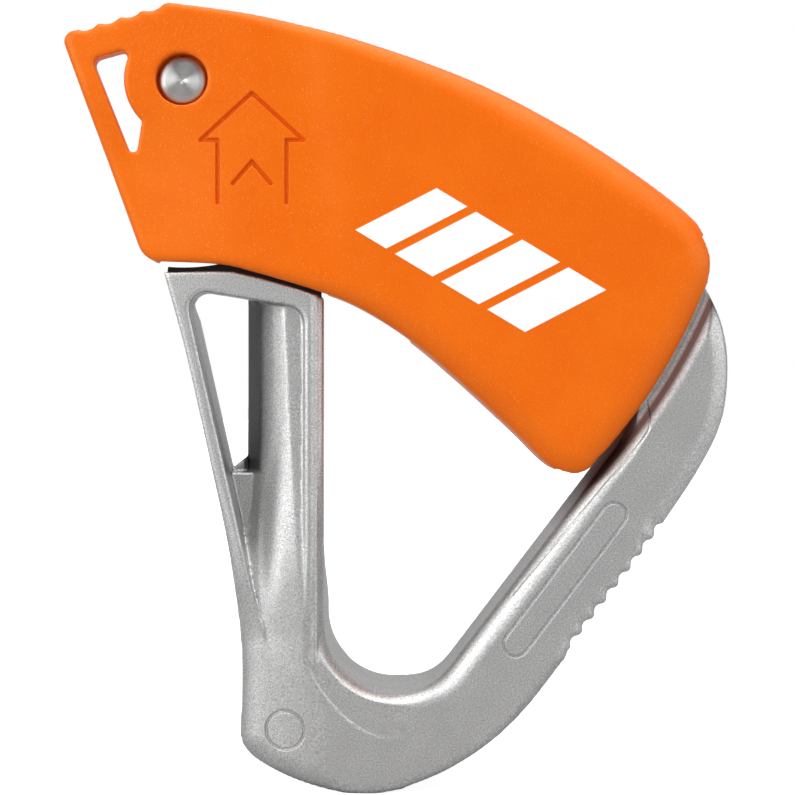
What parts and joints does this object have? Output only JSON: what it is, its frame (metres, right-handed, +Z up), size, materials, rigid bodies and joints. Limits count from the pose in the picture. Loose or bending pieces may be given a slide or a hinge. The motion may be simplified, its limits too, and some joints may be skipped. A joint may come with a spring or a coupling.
{
  "type": "ascender",
  "caption": "Emergency rope clamp: cast frame with a rope channel and a slanted carabiner eye, and a sprung moulded arm that pivots on a rivet over it.",
  "frame": {"origin": "centre of the seat arc of the carabiner eye, half-way through the eye's depth", "axes": "+X to the right seen from the front, +Y away from the viewer through the carabiner eye, +Z up along the rope"},
  "size_m": [0.0666, 0.0165, 0.0794],
  "materials": {
    "cast_frame": "bead-blasted casting, satin",
    "arm_plastic": "moulded nylon, fine satin texture",
    "steel": "turned stainless steel",
    "bronze": "plain sintered bronze"
  },
  "bodies": {
    "frame_body": {"frame": "cast_frame", "toothed_insert": "steel", "insert_rivet_lower": "steel", "insert_rivet_upper": "steel", "pivot_bush": "bronze", "thrust_washer_front": "steel", "thrust_washer_rear": "steel", "return_spring": "steel"},
    "arm_body": {"arm_front_shell": "arm_plastic", "arm_rear_shell": "arm_plastic", "arm_pivot_cover": "arm_plastic", "pivot_rivet": "steel", "rivet_washer": "steel"}
  },
  "joints": [
    {"name": "arm_pivot", "type": "hinge", "parent": "frame_body", "child": "arm_body", "pos_m": [-0.02125, 0, 0.0548], "axis": [0, -1, 0], "range_deg": [0, 20], "stiffness_Nm_per_rad": 0.02, "springref_deg": -34.38, "deforming": ["return_spring"]}
  ]
}
